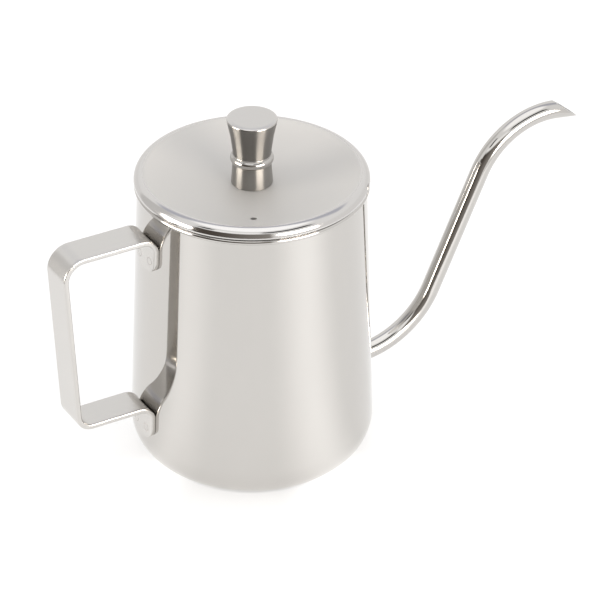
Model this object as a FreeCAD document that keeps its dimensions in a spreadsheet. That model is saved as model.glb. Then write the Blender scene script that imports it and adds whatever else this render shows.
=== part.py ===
import FreeCAD, Part
import math
import os
from types import SimpleNamespace

import Sketcher
from FreeCAD import Vector

# Gooseneck pour-over kettle, in millimetres: +Z up, spout towards +X, handle towards -X,
# origin on the table at the middle of the base.

DIMENSIONS = {
    # Vessel: a drawn can, widest just above the base corner and leaning in towards the mouth
    "base_radius": 45.0,
    "base_corner": 14.0,
    "wall": 0.8,
    "wall_lean": 2.0,
    "mouth_height": 111.0,
    "rim_bead": 1.0,
    "rib_inside": 18.0,
    "rib_outside": 26.0,
    "rib_rise": 1.0,
    "rib_slope": 1.6,
    # Spout: one bent tube, horizontal at its root, cut on a slant at its tip
    "tube_radius": 3.5,
    "tube_wall": 0.6,
    "root_height": 23.0,
    "root_inside": 1.2,
    "root_run": 1.8,
    "lower_bend": 34.0,
    "rise_angle": 65.7,
    "rise_length": 48.7,
    "upper_bend": 31.3,
    "tip_dip": 8.0,
    "lip_run": 10.2,
    "lip_spare": 2.0,
    "cut_angle": 39.0,
    "weld_leg": 1.2,
    # Handle: one flat strap with a welded tab at each end
    "strap_width": 13.5,
    "strap": 2.0,
    "upper_arm_drop": 7.6,
    "lower_arm": 32.7,
    "reach_top": 38.4,
    "reach_bottom": 31.4,
    "tab_drop": 15.0,
    "tab_corner": 3.0,
    "upper_corner": 6.5,
    "lower_corner": 4.5,
    "tab_bend": 2.6,
    "spot_radius": 1.5,
    "spot_offset": 3.6,
    "spot_depth": 0.35,
    # Lid: a dished plate with a rolled edge, a plug ring below and a turned knob above
    "lid_overhang": 1.1,
    "lid_roll": 2.5,
    "lid_skirt": 1.35,
    "lid_sheet": 0.8,
    "rim_gap": 0.35,
    "dish_slope": 16.0,
    "seat_radius": 7.6,
    "vent_radius": 1.4,
    "vent_reach": 30.4,
    "vent_bearing": 61.8,
    "plug_play": 0.7,
    "plug_wall": 0.6,
    "plug_depth": 11.0,
    "knob_foot": 7.4,
    "knob_waist": 7.0,
    "knob_bead": 7.9,
    "knob_crown": 9.3,
    "knob_height": 26.3,
    "waist_height": 5.6,
    "bead_height": 9.4,
    "bead_half": 1.7,
    "crown_edge": 0.6,
    "screw_radius": 2.0,
    "screw_play": 0.15,
    "screw_grip": 12.0,
    "washer_radius": 4.8,
    "washer": 0.8,
    "head_radius": 3.6,
    "head_height": 2.2,
    "slot_width": 1.0,
    "slot_depth": 1.1,
}


class Size:
    """A number together with the sheet expression that it comes from."""

    def __init__(self, value, text):
        self.value = value
        self.text = text

    @staticmethod
    def of(other):
        if isinstance(other, Size):
            return other
        return Size(float(other), f"{float(other):.9g}")

    def __add__(self, other):
        other = Size.of(other)
        return Size(self.value + other.value, f"({self.text} + {other.text})")

    def __sub__(self, other):
        other = Size.of(other)
        return Size(self.value - other.value, f"({self.text} - {other.text})")

    def __mul__(self, other):
        other = Size.of(other)
        return Size(self.value * other.value, f"({self.text} * {other.text})")

    def __truediv__(self, other):
        other = Size.of(other)
        return Size(self.value / other.value, f"({self.text} / {other.text})")

    def __neg__(self):
        return Size(-self.value, f"(0 - {self.text})")

    def __radd__(self, other):
        return Size.of(other) + self

    def __rsub__(self, other):
        return Size.of(other) - self

    def __rmul__(self, other):
        return Size.of(other) * self


def sine(angle):
    return Size(math.sin(math.radians(angle.value)), f"sin({angle.text} * 1 deg)")


def cosine(angle):
    return Size(math.cos(math.radians(angle.value)), f"cos({angle.text} * 1 deg)")


def tangent(angle):
    return Size(math.tan(math.radians(angle.value)), f"tan({angle.text} * 1 deg)")


doc = FreeCAD.newDocument("GooseneckKettle")
sheet = doc.addObject("Spreadsheet::Sheet", "Dims")
for row, (alias, number) in enumerate(DIMENSIONS.items(), start=1):
    sheet.set(f"A{row}", alias)
    sheet.set(f"B{row}", str(number))
    sheet.setAlias(f"B{row}", alias)
doc.recompute()

dim = SimpleNamespace(**{alias: Size(number, f"Dims.{alias}") for alias, number in DIMENSIONS.items()})
ZERO = Size.of(0)


# Drawing and feature helpers

def new_body(label):
    body = doc.addObject("PartDesign::Body", label)
    body.Label = label
    return body


def origin_plane(body, role):
    return next(plane for plane in body.Origin.OriginFeatures if plane.Role == role)


def new_sketch(body, name, role, lift=None):
    """A sketch on one of the body's origin planes, lifted off it along the plane's normal."""
    sketch = body.newObject("Sketcher::SketchObject", name)
    sketch.AttachmentSupport = [(origin_plane(body, role), "")]
    sketch.MapMode = "FlatFace"
    if lift is not None:
        sketch.setExpression(".AttachmentOffset.Base.z", lift.text)
    return sketch


def pin_point(sketch, geo, end, point):
    """Ties one end of a curve to its place, measured from the sketch's origin."""
    for kind, axis, size in (("DistanceX", -2, point[0]), ("DistanceY", -1, point[1])):
        if abs(size.value) < 1e-9:
            sketch.addConstraint(Sketcher.Constraint("PointOnObject", geo, end, axis))
            continue
        index = sketch.addConstraint(Sketcher.Constraint(kind, -1, 1, geo, end, size.value))
        sketch.setExpression(f"Constraints[{index}]", size.text)


def draw(sketch, points, arcs=None, closed=True):
    """Draws lines through the points; arcs maps a line's number to a radius, positive when it turns left."""
    arcs = arcs or {}
    count = len(points) if closed else len(points) - 1
    ends = []
    for number in range(count):
        first, last = (
            Vector(p[0].value, p[1].value, 0) for p in (points[number], points[(number + 1) % len(points)])
        )
        if number not in arcs:
            geo = sketch.addGeometry(Part.LineSegment(first, last), False)
            ends.append((geo, 1, 2))
            continue
        radius = arcs[number]
        left = radius.value > 0
        size = radius if left else -radius
        chord = last - first
        side = Vector(-chord.y, chord.x, 0).normalize() * (1 if left else -1)
        rise = math.sqrt(max(size.value**2 - (chord.Length / 2) ** 2, 0.0))
        middle = (first + last) * 0.5 + side * rise
        start, stop = (first, last) if left else (last, first)
        angles = [math.atan2(p.y - middle.y, p.x - middle.x) for p in (start, stop)]
        circle = Part.Circle(middle, Vector(0, 0, 1), size.value)
        geo = sketch.addGeometry(Part.ArcOfCircle(circle, angles[0], angles[1]), False)
        index = sketch.addConstraint(Sketcher.Constraint("Radius", geo, size.value))
        sketch.setExpression(f"Constraints[{index}]", size.text)
        ends.append((geo, 1, 2) if left else (geo, 2, 1))
    for number in range(count if closed else count - 1):
        this, following = ends[number], ends[(number + 1) % count]
        sketch.addConstraint(Sketcher.Constraint("Coincident", this[0], this[2], following[0], following[1]))
    for number in range(count):
        pin_point(sketch, ends[number][0], ends[number][1], points[number])
    if not closed:
        pin_point(sketch, ends[-1][0], ends[-1][2], points[-1])
    return sketch


def draw_circle(sketch, centre, radius):
    geo = sketch.addGeometry(
        Part.Circle(Vector(centre[0].value, centre[1].value, 0), Vector(0, 0, 1), radius.value), False
    )
    index = sketch.addConstraint(Sketcher.Constraint("Radius", geo, radius.value))
    sketch.setExpression(f"Constraints[{index}]", radius.text)
    pin_point(sketch, geo, 3, centre)


def spin(body, kind, name, sketch, axis="V_Axis"):
    """A full turn of a sketch about one of its own axes, added or cut away."""
    feature = body.newObject(f"PartDesign::{kind}", name)
    feature.Profile = sketch
    feature.ReferenceAxis = (sketch, [axis])
    feature.Angle = 360
    doc.recompute()
    return feature


def push(body, kind, name, sketch, length=None, both_ways=False, backwards=False):
    """A pad or pocket: to a length, or right through when no length is given."""
    before = body.Shape.Volume if kind == "Pocket" else 0.0
    feature = body.newObject(f"PartDesign::{kind}", name)
    feature.Profile = sketch
    if length is None:
        feature.Type = "ThroughAll"
    else:
        feature.setExpression("Length", length.text)
    if both_ways:
        feature.SideType = "Symmetric"
    feature.Reversed = backwards
    doc.recompute()
    if kind == "Pocket" and body.Shape.Volume > before - 1e-3:
        raise RuntimeError(f"{name} cuts nothing")
    return feature


def round_edges(body, name, radius, wanted):
    """Rounds the edges of the body's last feature that the test picks out."""
    base = body.Tip
    names = [f"Edge{n}" for n, edge in enumerate(base.Shape.Edges, start=1) if wanted(edge)]
    if not names:
        raise RuntimeError(f"{name} finds no edge")
    fillet = body.newObject("PartDesign::Fillet", name)
    fillet.Base = (base, names)
    fillet.setExpression("Radius", radius.text)
    doc.recompute()
    return fillet


def along_y(x, z):
    """Tests for a straight edge parallel to Y that passes through x and z."""

    def test(edge):
        ends = [vertex.Point for vertex in edge.Vertexes]
        if len(ends) != 2 or abs(ends[0].y - ends[1].y) < 1.0:
            return False
        return all(abs(p.x - x.value) < 1e-4 and abs(p.z - z.value) < 1e-4 for p in ends)

    return test


def on_wall_at(height):
    """Tests for the level edge across the strap where it meets the wall at a height."""

    def test(edge):
        ends = [vertex.Point for vertex in edge.Vertexes]
        if len(ends) != 2 or abs(ends[0].y - ends[1].y) < dim.strap_width.value - 1e-3:
            return False
        near = -dim.base_radius.value
        return all(abs(p.z - height.value) < 1e-4 and p.x > near for p in ends)

    return test


def tab_corner_at(height):
    """Tests for the short level edges at the strap's two sides, at the end of a tab."""

    def test(edge):
        ends = [vertex.Point for vertex in edge.Vertexes]
        if len(ends) != 2 or abs(ends[0].x - ends[1].x) < 0.5:
            return False
        half = dim.strap_width.value / 2
        return all(abs(p.z - height.value) < 1e-4 and abs(abs(p.y) - half) < 1e-4 for p in ends)

    return test


# Shared geometry of the vessel's wall

corner_centre = dim.base_radius - dim.base_corner
lean_start_radius = corner_centre + dim.base_corner * cosine(dim.wall_lean)
lean_start_height = dim.base_corner + dim.base_corner * sine(dim.wall_lean)


def wall_radius(height):
    """Outer radius of the leaning wall at a height above the base corner."""
    return lean_start_radius - (height - lean_start_height) * tangent(dim.wall_lean)


def inner_radius(height):
    return wall_radius(height) - dim.wall / cosine(dim.wall_lean)


upper_arm = dim.mouth_height - dim.upper_arm_drop
mouth_radius = wall_radius(dim.mouth_height)
skirt_height = dim.mouth_height + dim.rim_bead + dim.rim_gap
lid_radius = mouth_radius + dim.lid_overhang
lid_roll_height = skirt_height + dim.lid_skirt
plug_radius = mouth_radius - dim.rim_bead - dim.plug_play


def wall_core(body, name, low, high):
    """Cuts away all that lies inside the wall's outer face between two heights."""
    deep = dim.base_radius / 2
    sketch = new_sketch(body, f"{name}Outline", "XZ_Plane")
    draw(sketch, [(deep, low), (wall_radius(low), low), (wall_radius(high), high), (deep, high)])
    return spin(body, "Groove", name, sketch)


def make_body_shell():
    """The drawn can: flat base with a pressed rib, round base corner, leaning wall and rolled rim."""
    body = new_body("body_shell")
    bend = dim.base_corner - dim.wall
    lean_cos, lean_sin = cosine(dim.wall_lean), sine(dim.wall_lean)
    mouth = dim.mouth_height
    rib = [
        (dim.rib_inside, ZERO),
        (dim.rib_inside + dim.rib_slope, dim.rib_rise),
        (dim.rib_outside - dim.rib_slope, dim.rib_rise),
        (dim.rib_outside, ZERO),
    ]
    below = [(ZERO, ZERO), *rib, (corner_centre, ZERO)]
    above = [(radius, height + dim.wall) for radius, height in reversed(below)]
    points = [
        *below,
        (lean_start_radius, lean_start_height),
        (wall_radius(mouth), mouth),
        (inner_radius(mouth), mouth),
        (corner_centre + bend * lean_cos, dim.base_corner + bend * lean_sin),
        *above,
    ]
    outer_bend = len(below) - 1
    outline = new_sketch(body, "CanOutline", "XZ_Plane")
    draw(outline, points, {outer_bend: dim.base_corner, outer_bend + 4: -bend})
    spin(body, "Revolution", "Can", outline)
    bead = new_sketch(body, "RimOutline", "XZ_Plane")
    draw_circle(bead, (wall_radius(mouth), mouth), dim.rim_bead)
    spin(body, "Revolution", "RolledRim", bead)
    hole = new_sketch(body, "SpoutHoleOutline", "YZ_Plane")
    draw_circle(hole, (ZERO, dim.root_height), dim.tube_radius)
    push(body, "Pocket", "SpoutHole", hole, dim.base_radius + dim.wall, backwards=True)
    return body


def spout_path():
    """Corner points of the tube's centre line: root, two bends, tip."""
    rise_cos, rise_sin = cosine(dim.rise_angle), sine(dim.rise_angle)
    start = (inner_radius(dim.root_height) - dim.root_inside, dim.root_height)
    bend_in = (wall_radius(dim.root_height) + dim.root_run, dim.root_height)
    bend_out = (bend_in[0] + dim.lower_bend * rise_sin, bend_in[1] + dim.lower_bend * (1 - rise_cos))
    top_in = (bend_out[0] + dim.rise_length * rise_cos, bend_out[1] + dim.rise_length * rise_sin)
    dip_cos, dip_sin = cosine(dim.tip_dip), sine(dim.tip_dip)
    top_out = (
        top_in[0] + dim.upper_bend * (rise_sin + dip_sin),
        top_in[1] + dim.upper_bend * (dip_cos - rise_cos),
    )
    run = dim.lip_run + dim.lip_spare
    end = (top_out[0] + run * dip_cos, top_out[1] - run * dip_sin)
    return [start, bend_in, bend_out, top_in, top_out, end]


def spout_lip():
    """The lowest point of the tip, where the slanting cut leaves the tube's lower wall."""
    top_out = spout_path()[4]
    dip_cos, dip_sin = cosine(dim.tip_dip), sine(dim.tip_dip)
    return (
        top_out[0] + dim.lip_run * dip_cos - dim.tube_radius * dip_sin,
        top_out[1] - dim.lip_run * dip_sin - dim.tube_radius * dip_cos,
    )


def make_spout_tube():
    """The gooseneck: a ring section swept along the bent centre line, then cut on a slant."""
    body = new_body("spout_tube")
    path = new_sketch(body, "CentreLine", "XZ_Plane")
    points = spout_path()
    draw(path, points, {1: dim.lower_bend, 3: -dim.upper_bend}, closed=False)
    section = new_sketch(body, "RingSection", "YZ_Plane", lift=points[0][0])
    for radius in (dim.tube_radius, dim.tube_radius - dim.tube_wall):
        draw_circle(section, (ZERO, dim.root_height), radius)
    doc.recompute()
    pipe = body.newObject("PartDesign::AdditivePipe", "BentTube")
    pipe.Profile = section
    pipe.Spine = (path, [f"Edge{n}" for n in range(1, len(points))])
    doc.recompute()
    lip = spout_lip()
    cut_cos, cut_sin = cosine(dim.cut_angle), sine(dim.cut_angle)
    reach = dim.tube_radius * 8
    low = (lip[0] + dim.tube_radius * cut_cos, lip[1] - dim.tube_radius * cut_sin)
    high = (lip[0] - reach * cut_cos, lip[1] + reach * cut_sin)
    slant = new_sketch(body, "SlantOutline", "XZ_Plane")
    draw(slant, [low, (low[0] + reach, low[1]), (low[0] + reach, high[1]), high])
    push(body, "Pocket", "SlantCut", slant, dim.tube_radius * 4, both_ways=True)
    return body


def make_spout_weld():
    """The weld fillet round the tube's root, seated on the wall."""
    body = new_body("spout_weld_bead")
    face = wall_radius(dim.root_height)
    deep = face - dim.weld_leg
    outer = dim.tube_radius + dim.weld_leg
    section = new_sketch(body, "FilletSection", "XY_Plane")
    points = [
        (deep, dim.tube_radius),
        (face + dim.weld_leg, dim.tube_radius),
        (face, outer),
        (deep, outer),
    ]
    draw(section, points, {1: -dim.weld_leg})
    ring = spin(body, "Revolution", "FilletRing", section, axis="H_Axis")
    body.setExpression(".Placement.Base.z", dim.root_height.text)
    core = new_sketch(body, "SeatOutline", "XZ_Plane")
    low, high = dim.root_height - outer * 2, dim.root_height + outer * 2
    half = dim.base_radius / 2
    draw(
        core,
        [
            (half, low - dim.root_height),
            (wall_radius(low), low - dim.root_height),
            (wall_radius(high), high - dim.root_height),
            (half, high - dim.root_height),
        ],
    )
    before = ring.Shape.Volume
    spin(body, "Groove", "Seat", core)
    if body.Shape.Volume > before - 1e-3:
        raise RuntimeError("the weld bead's seat cuts nothing")
    return body


def make_handle():
    """The flat strap: upper tab, upper arm, grip, lower arm and lower tab, in one bent piece."""
    body = new_body("handle_strap")
    gauge = dim.strap
    grip_top = wall_radius(upper_arm) + dim.reach_top
    grip_bottom = wall_radius(dim.lower_arm) + dim.reach_bottom
    grip_slope = (grip_top - grip_bottom) / (upper_arm - dim.lower_arm)

    def grip(height):
        return -(grip_bottom + (height - dim.lower_arm) * grip_slope)

    def tab_face(height):
        return -(wall_radius(height) + gauge)

    seat = -(dim.base_radius / 2 + dim.base_corner)
    arms = {"upper": upper_arm, "lower": dim.lower_arm}
    upper_end, lower_end = upper_arm - dim.tab_drop, dim.lower_arm - dim.tab_drop
    outside = {
        "crown": (grip(upper_arm), upper_arm),
        "heel": (grip(dim.lower_arm - gauge), dim.lower_arm - gauge),
    }
    inside = {
        "crown": (grip(upper_arm) + gauge, upper_arm - gauge),
        "heel": (grip(dim.lower_arm) + gauge, dim.lower_arm),
    }
    shoulders = {name: (tab_face(height - gauge), height - gauge) for name, height in arms.items()}
    tips = {"upper": (tab_face(upper_end), upper_end), "lower": (tab_face(lower_end), lower_end)}
    points = [
        (seat, upper_arm),
        outside["crown"],
        outside["heel"],
        shoulders["lower"],
        tips["lower"],
        (seat, lower_end),
        (seat, dim.lower_arm),
        inside["heel"],
        inside["crown"],
        shoulders["upper"],
        tips["upper"],
        (seat, upper_end),
    ]
    outline = new_sketch(body, "StrapOutline", "XZ_Plane")
    draw(outline, points)
    push(body, "Pad", "Strap", outline, dim.strap_width, both_ways=True)
    wall_core(body, "WallSeat", ZERO - dim.strap_width, upper_arm + dim.strap_width)
    for name, radius, place in (
        ("CrownOutside", dim.upper_corner + gauge, outside["crown"]),
        ("CrownInside", dim.upper_corner, inside["crown"]),
        ("HeelOutside", dim.lower_corner + gauge, outside["heel"]),
        ("HeelInside", dim.lower_corner, inside["heel"]),
        ("UpperShoulder", dim.tab_bend, shoulders["upper"]),
        ("LowerShoulder", dim.tab_bend, shoulders["lower"]),
    ):
        round_edges(body, name, radius, along_y(*place))
    for name, height in arms.items():
        round_edges(body, f"{name.title()}Roll", dim.tab_bend + gauge, on_wall_at(height))
    for name, height in (("Upper", upper_end), ("Lower", lower_end)):
        round_edges(body, f"{name}TabCorners", dim.tab_corner, tab_corner_at(height))
        middle = height + dim.tab_corner + dim.spot_radius
        spots = new_sketch(body, f"{name}SpotOutline", "YZ_Plane", lift=tab_face(middle))
        for offset in (-dim.spot_offset, dim.spot_offset):
            draw_circle(spots, (offset, middle), dim.spot_radius)
        push(body, "Pocket", f"{name}Spots", spots, dim.spot_depth, backwards=True)
    return body


def make_lid_pan():
    """The dished plate: flat seat for the knob, shallow dish, rolled edge and short skirt."""
    body = new_body("lid_pan")
    skin = dim.lid_sheet
    hole = dim.screw_radius + dim.screw_play
    top = lid_dish(ZERO)
    under = lid_dish(skin)
    outer = lid_radius
    points = [
        (hole, top.seat_height),
        (dim.seat_radius, top.seat_height),
        top.roll_start,
        (outer, lid_roll_height),
        (outer, skirt_height),
        (outer - skin, skirt_height),
        (outer - skin, lid_roll_height),
        under.roll_start,
        (dim.seat_radius, under.seat_height),
        (hole, under.seat_height),
    ]
    outline = new_sketch(body, "LidOutline", "XZ_Plane")
    draw(outline, points, {1: top.bowl, 2: -dim.lid_roll, 6: dim.lid_roll - skin, 7: -under.bowl})
    spin(body, "Revolution", "DishedPlate", outline)
    vent = new_sketch(body, "VentOutline", "XY_Plane")
    bearing = dim.vent_bearing
    draw_circle(vent, (-(dim.vent_reach * cosine(bearing)), -(dim.vent_reach * sine(bearing))), dim.vent_radius)
    push(body, "Pocket", "VentHole", vent, backwards=True)
    return body


def lid_dish(depth):
    """The dish's curve at a depth below the lid's upper face: where it meets the roll, its radius, its floor."""
    slope_sin, slope_cos = sine(dim.dish_slope), cosine(dim.dish_slope)
    roll = dim.lid_roll - depth
    centre = lid_radius - dim.lid_roll
    roll_start = (centre - roll * slope_sin, lid_roll_height + roll * slope_cos)
    bowl = (roll_start[0] - dim.seat_radius) / slope_sin
    return SimpleNamespace(
        roll_start=roll_start,
        bowl=bowl,
        seat_height=roll_start[1] - bowl * (1 - slope_cos),
    )


def make_plug_ring():
    """The ring that steadies the lid in the mouth, welded under the rolled edge."""
    body = new_body("lid_plug_ring")
    inner = plug_radius - dim.plug_wall
    roll = dim.lid_roll - dim.lid_sheet
    centre = lid_radius - dim.lid_roll
    foot = lid_roll_height - dim.plug_depth

    def under_roll(radius):
        reach = (radius - centre).value
        rise = math.sqrt(roll.value**2 - reach**2)
        text = f"sqrt(({roll.text})^2 - ({radius.text} - {centre.text})^2)"
        return lid_roll_height + Size(rise, text)

    points = [
        (inner, foot),
        (plug_radius, foot),
        (plug_radius, under_roll(plug_radius)),
        (inner, under_roll(inner)),
    ]
    outline = new_sketch(body, "PlugOutline", "XZ_Plane")
    draw(outline, points, {2: roll})
    spin(body, "Revolution", "Plug", outline)
    return body


def make_knob():
    """The turned knob: foot, waist, bead and a flared crown, with a blind tapped hole below."""
    body = new_body("lid_knob")
    foot = lid_dish(ZERO).seat_height
    bead = foot + dim.bead_height
    top = foot + dim.knob_height
    edge = dim.crown_edge
    side = dim.knob_bead - dim.knob_waist
    blend = (side * side + dim.bead_half * dim.bead_half) / (2 * side)
    points = [
        (ZERO, foot),
        (dim.knob_foot, foot),
        (dim.knob_waist, foot + dim.waist_height),
        (dim.knob_waist, bead - dim.bead_half),
        (dim.knob_waist, bead + dim.bead_half),
        (dim.knob_crown, top - edge),
        (dim.knob_crown - edge, top),
        (ZERO, top),
    ]
    outline = new_sketch(body, "KnobOutline", "XZ_Plane")
    draw(outline, points, {3: blend, 5: edge})
    spin(body, "Revolution", "TurnedKnob", outline)
    tapped = new_sketch(body, "TappedHoleOutline", "XY_Plane", lift=foot)
    draw_circle(tapped, (ZERO, ZERO), dim.screw_radius)
    push(body, "Pocket", "TappedHole", tapped, dim.screw_grip, backwards=True)
    return body


def make_washer():
    """The plain washer under the lid, below the knob."""
    body = new_body("knob_washer")
    top = lid_dish(dim.lid_sheet).seat_height
    hole = dim.screw_radius + dim.screw_play
    outline = new_sketch(body, "WasherOutline", "XZ_Plane")
    draw(
        outline,
        [
            (hole, top - dim.washer),
            (dim.washer_radius, top - dim.washer),
            (dim.washer_radius, top),
            (hole, top),
        ],
    )
    spin(body, "Revolution", "Washer", outline)
    return body


def make_screw():
    """The pan-head screw that holds the knob from below, with a slot across its head."""
    body = new_body("knob_screw")
    seat = lid_dish(dim.lid_sheet).seat_height - dim.washer
    end = lid_dish(ZERO).seat_height + dim.screw_grip
    bottom = seat - dim.head_height
    dome = dim.head_height / 2
    points = [
        (ZERO, bottom),
        (dim.head_radius - dome, bottom),
        (dim.head_radius, bottom + dome),
        (dim.head_radius, seat),
        (dim.screw_radius, seat),
        (dim.screw_radius, end),
        (ZERO, end),
    ]
    outline = new_sketch(body, "ScrewOutline", "XZ_Plane")
    draw(outline, points, {1: dome})
    spin(body, "Revolution", "Screw", outline)
    slot = new_sketch(body, "SlotOutline", "XY_Plane", lift=bottom)
    half, width = dim.head_radius * 1.5, dim.slot_width / 2
    draw(slot, [(-half, -width), (half, -width), (half, width), (-half, width)])
    push(body, "Pocket", "Slot", slot, dim.slot_depth, backwards=True)
    return body


pieces = [
    make_body_shell(),
    make_spout_tube(),
    make_spout_weld(),
    make_handle(),
    make_lid_pan(),
    make_plug_ring(),
    make_knob(),
    make_washer(),
    make_screw(),
]
doc.recompute()

for thing in doc.Objects:
    if "Invalid" in thing.State or "Error" in thing.State:
        raise RuntimeError(f"{thing.Label} did not build: {thing.State}")
for piece in pieces:
    if piece.Shape.isNull() or not piece.Shape.isValid() or len(piece.Shape.Solids) != 1:
        raise RuntimeError(f"{piece.Label} is not one sound solid")

os.makedirs("parts", exist_ok=True)
for piece in pieces:
    piece.Shape.exportStep(f"parts/{piece.Label}.step")
    box = piece.Shape.BoundBox
    print(
        f"{piece.Label}: {piece.Shape.Volume:.1f} mm3,"
        f" x {box.XMin:.2f} to {box.XMax:.2f}, y {box.YMin:.2f} to {box.YMax:.2f},"
        f" z {box.ZMin:.2f} to {box.ZMax:.2f}"
    )
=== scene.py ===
# %% [markdown]
# # A gooseneck kettle in polished steel
# The kettle is a drawn steel can with a bent tube for a spout, a flat strap for a handle and a loose lid.
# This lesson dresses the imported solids: every visible piece is modelled again with smooth surfaces, because
# a mirror finish shows each facet of a plain mesh. The frame gives the places, so the pieces fall where the
# solids are, and each one rides on the same moving body.

import math

import bmesh
import bpy
from mathutils import Matrix, Vector


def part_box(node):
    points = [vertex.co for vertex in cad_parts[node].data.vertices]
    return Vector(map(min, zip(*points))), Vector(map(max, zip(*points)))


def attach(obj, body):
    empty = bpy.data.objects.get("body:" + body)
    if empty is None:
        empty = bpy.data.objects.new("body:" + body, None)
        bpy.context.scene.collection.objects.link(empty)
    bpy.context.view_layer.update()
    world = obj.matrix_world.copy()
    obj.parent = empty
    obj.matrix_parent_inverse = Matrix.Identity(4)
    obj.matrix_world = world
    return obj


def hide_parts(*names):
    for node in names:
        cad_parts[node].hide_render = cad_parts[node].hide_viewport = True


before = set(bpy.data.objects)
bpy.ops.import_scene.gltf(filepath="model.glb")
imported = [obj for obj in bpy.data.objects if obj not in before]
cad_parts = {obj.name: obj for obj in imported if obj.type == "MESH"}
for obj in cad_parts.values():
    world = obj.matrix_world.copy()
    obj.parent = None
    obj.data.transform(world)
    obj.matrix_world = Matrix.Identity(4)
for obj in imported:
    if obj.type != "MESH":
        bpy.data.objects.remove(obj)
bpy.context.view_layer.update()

# %% [markdown]
# ## Sizes
# All lengths are metres. A few come straight from the solids' boxes, so the drawing stays tied to them, and
# the rest are the sizes that a sheet-metal worker would write on the drawing of each piece.

# %% Sizes from the solids
MM = 0.001
shell_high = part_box("body_shell")[1]
lid_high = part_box("lid_pan")[1]
knob_low, knob_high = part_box("lid_knob")

BASE_RADIUS = shell_high.x
RIM_TOP = shell_high.z
LID_RADIUS = lid_high.x
LID_TOP = lid_high.z
SEAT_HEIGHT = knob_low.z
KNOB_TOP = knob_high.z
print("base radius", round(BASE_RADIUS, 4), "rim", round(RIM_TOP, 4), "knob top", round(KNOB_TOP, 4))

# %% Sizes of the can
WALL = 0.8 * MM
LEAN = math.radians(2.0)
BASE_CORNER = 14.0 * MM
RIM_BEAD = 1.0 * MM
MOUTH = RIM_TOP - RIM_BEAD
LEAN_RADIUS = BASE_RADIUS - BASE_CORNER + BASE_CORNER * math.cos(LEAN)
LEAN_HEIGHT = BASE_CORNER + BASE_CORNER * math.sin(LEAN)


def wall_radius(height):
    """Outer radius of the leaning wall at a height."""
    return LEAN_RADIUS - (height - LEAN_HEIGHT) * math.tan(LEAN)


print("mouth radius", round(wall_radius(MOUTH), 4))

# %% [markdown]
# ## Drawing outlines
# A turned or drawn piece is one outline swung round an axis. The outline needs few points: straight runs
# meet at corners, and each corner has a radius. This helper swaps every corner for a tangent arc, which is
# what a press tool or a lathe leaves behind.

# %% Outline helpers
ARC_STEPS = 10


def arc(centre, radius, start, end, steps):
    """Points along a circle, angles in degrees."""
    angles = [math.radians(start + (end - start) * n / steps) for n in range(steps + 1)]
    return [(centre[0] + radius * math.cos(a), centre[1] + radius * math.sin(a)) for a in angles]


def rounded(corners, steps=ARC_STEPS):
    """An open outline of (across, up, radius) corners, with an arc at each corner that has a radius."""
    outline = []
    for number, (x, y, radius) in enumerate(corners):
        here = Vector((x, y))
        if not radius or number in (0, len(corners) - 1):
            outline.append((x, y))
            continue
        back = (Vector(corners[number - 1][:2]) - here).normalized()
        ahead = (Vector(corners[number + 1][:2]) - here).normalized()
        half = back.angle(ahead) / 2
        middle = here + (back + ahead).normalized() * radius / math.sin(half)
        first = here + back * radius / math.tan(half) - middle
        turn = (here + ahead * radius / math.tan(half) - middle).angle_signed(first)
        for n in range(steps + 1):
            spoke = first.copy()
            spoke.rotate(Matrix.Rotation(turn * n / steps, 2))
            outline.append(tuple(middle + spoke))
    return outline


print("a square corner becomes", len(rounded([(0, 0, 0), (1, 0, 0.2), (1, 1, 0)])), "points")

# %% [markdown]
# ## From outline to piece
# `spin` swings the outline's edges round the axis, as a lathe would. The last ring lands on the first, so
# the two are merged, and the normals are worked out again once the mesh is closed. Edges that turn sharply
# are marked, so smooth shading stops at them.

# %% Swing an outline
TURN_STEPS = 192
MERGE = 1e-7


def swung(outline, closed=False, axis=(0, 0, 1), steps=TURN_STEPS):
    """A bmesh of an outline, drawn in the XZ plane, swung a full turn about an axis."""
    bm = bmesh.new()
    points = [bm.verts.new((x, 0, z)) for x, z in outline]
    edges = [bm.edges.new(pair) for pair in zip(points, points[1:])]
    if closed:
        edges.append(bm.edges.new((points[-1], points[0])))
    bmesh.ops.spin(
        bm, geom=points + edges, cent=(0, 0, 0), axis=axis, angle=math.tau, steps=steps, use_merge=True
    )
    bmesh.ops.remove_doubles(bm, verts=bm.verts, dist=MERGE)
    bmesh.ops.recalc_face_normals(bm, faces=bm.faces)
    return bm


print("a full turn has", TURN_STEPS, "steps")

# %% Make a piece
SHARP = math.radians(32)


def shade(piece):
    piece.data.shade_smooth()
    piece.data.set_sharp_from_angle(angle=SHARP)


def new_object(name, bm):
    """Turns a bmesh into an object of the scene."""
    mesh = bpy.data.meshes.new(name)
    bm.to_mesh(mesh)
    bm.free()
    made = bpy.data.objects.new(name, mesh)
    bpy.context.scene.collection.objects.link(made)
    return made


def make_piece(name, bm, body, stands_for):
    """Turns a bmesh into a shaded piece that rides on a body and stands for a solid."""
    piece = new_object(name, bm)
    shade(piece)
    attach(piece, body)
    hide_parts(stands_for)
    print(name, "has", len(piece.data.polygons), "faces")
    return piece


print("edges sharper than", round(math.degrees(SHARP)), "degrees stay crisp")

# %% [markdown]
# A hole is drilled with a boolean cut by a thin cylinder. The result is kept as the piece's own mesh, so the
# piece carries no modifier and the bit can be thrown away.

# %% Drill a hole
HOLE_STEPS = 64


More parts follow.
